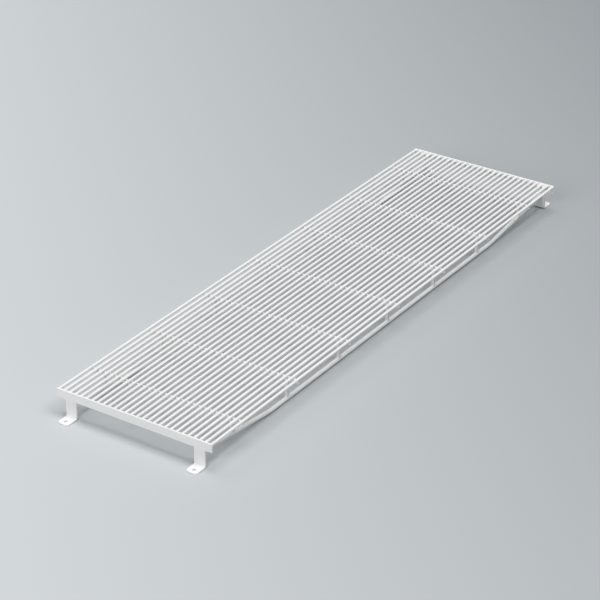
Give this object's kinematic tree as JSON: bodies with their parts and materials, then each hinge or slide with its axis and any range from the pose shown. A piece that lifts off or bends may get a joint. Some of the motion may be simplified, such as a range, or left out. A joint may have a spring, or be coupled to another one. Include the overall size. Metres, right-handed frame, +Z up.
{
  "type": "slatted work platform",
  "caption": "Low, long work platform: round rods between flat end plates, trussed on both sides, on bolted bent feet.",
  "frame": {"origin": "centre of the footprint, on the floor that the four feet stand on", "axes": "+X along the deck rods to the far end, +Y across them to the left side, +Z up"},
  "size_m": [1.868, 0.5, 0.083],
  "materials": {
    "rod_coat": "satin white powder coat",
    "plate_coat": "satin white powder coat",
    "truss_coat": "satin white powder coat",
    "foot_coat": "satin white powder coat"
  },
  "bodies": {
    "root": {"rod_01": "rod_coat", "rod_02": "rod_coat", "rod_03": "rod_coat", "rod_04": "rod_coat", "rod_05": "rod_coat", "rod_06": "rod_coat", "rod_07": "rod_coat", "rod_08": "rod_coat", "rod_09": "rod_coat", "rod_10": "rod_coat", "rod_11": "rod_coat", "rod_12": "rod_coat", "rod_13": "rod_coat", "rod_14": "rod_coat", "rod_15": "rod_coat", "rod_16": "rod_coat", "rod_17": "rod_coat", "rod_18": "rod_coat", "rod_19": "rod_coat", "rod_20": "rod_coat", "rod_21": "rod_coat", "rod_22": "rod_coat", "rod_23": "rod_coat", "rod_24": "rod_coat", "rod_25": "rod_coat", "rod_26": "rod_coat", "rod_27": "rod_coat", "rod_28": "rod_coat", "end_plate_near": "plate_coat", "end_plate_far": "plate_coat", "cross_bar_1": "plate_coat", "cross_bar_2": "plate_coat", "cross_bar_3": "plate_coat", "cross_bar_4": "plate_coat", "cross_bar_5": "plate_coat", "cross_bar_6": "plate_coat", "cross_bar_7": "plate_coat", "post_left_1": "truss_coat", "post_left_2": "truss_coat", "post_left_3": "truss_coat", "post_left_4": "truss_coat", "post_left_5": "truss_coat", "post_left_6": "truss_coat", "post_left_7": "truss_coat", "post_right_1": "truss_coat", "post_right_2": "truss_coat", "post_right_3": "truss_coat", "post_right_4": "truss_coat", "post_right_5": "truss_coat", "post_right_6": "truss_coat", "post_right_7": "truss_coat", "tie_rod_left": "truss_coat", "tie_rod_right": "truss_coat", "foot_near_left": "foot_coat", "foot_near_right": "foot_coat", "foot_far_left": "foot_coat", "foot_far_right": "foot_coat"}
  },
  "joints": []
}
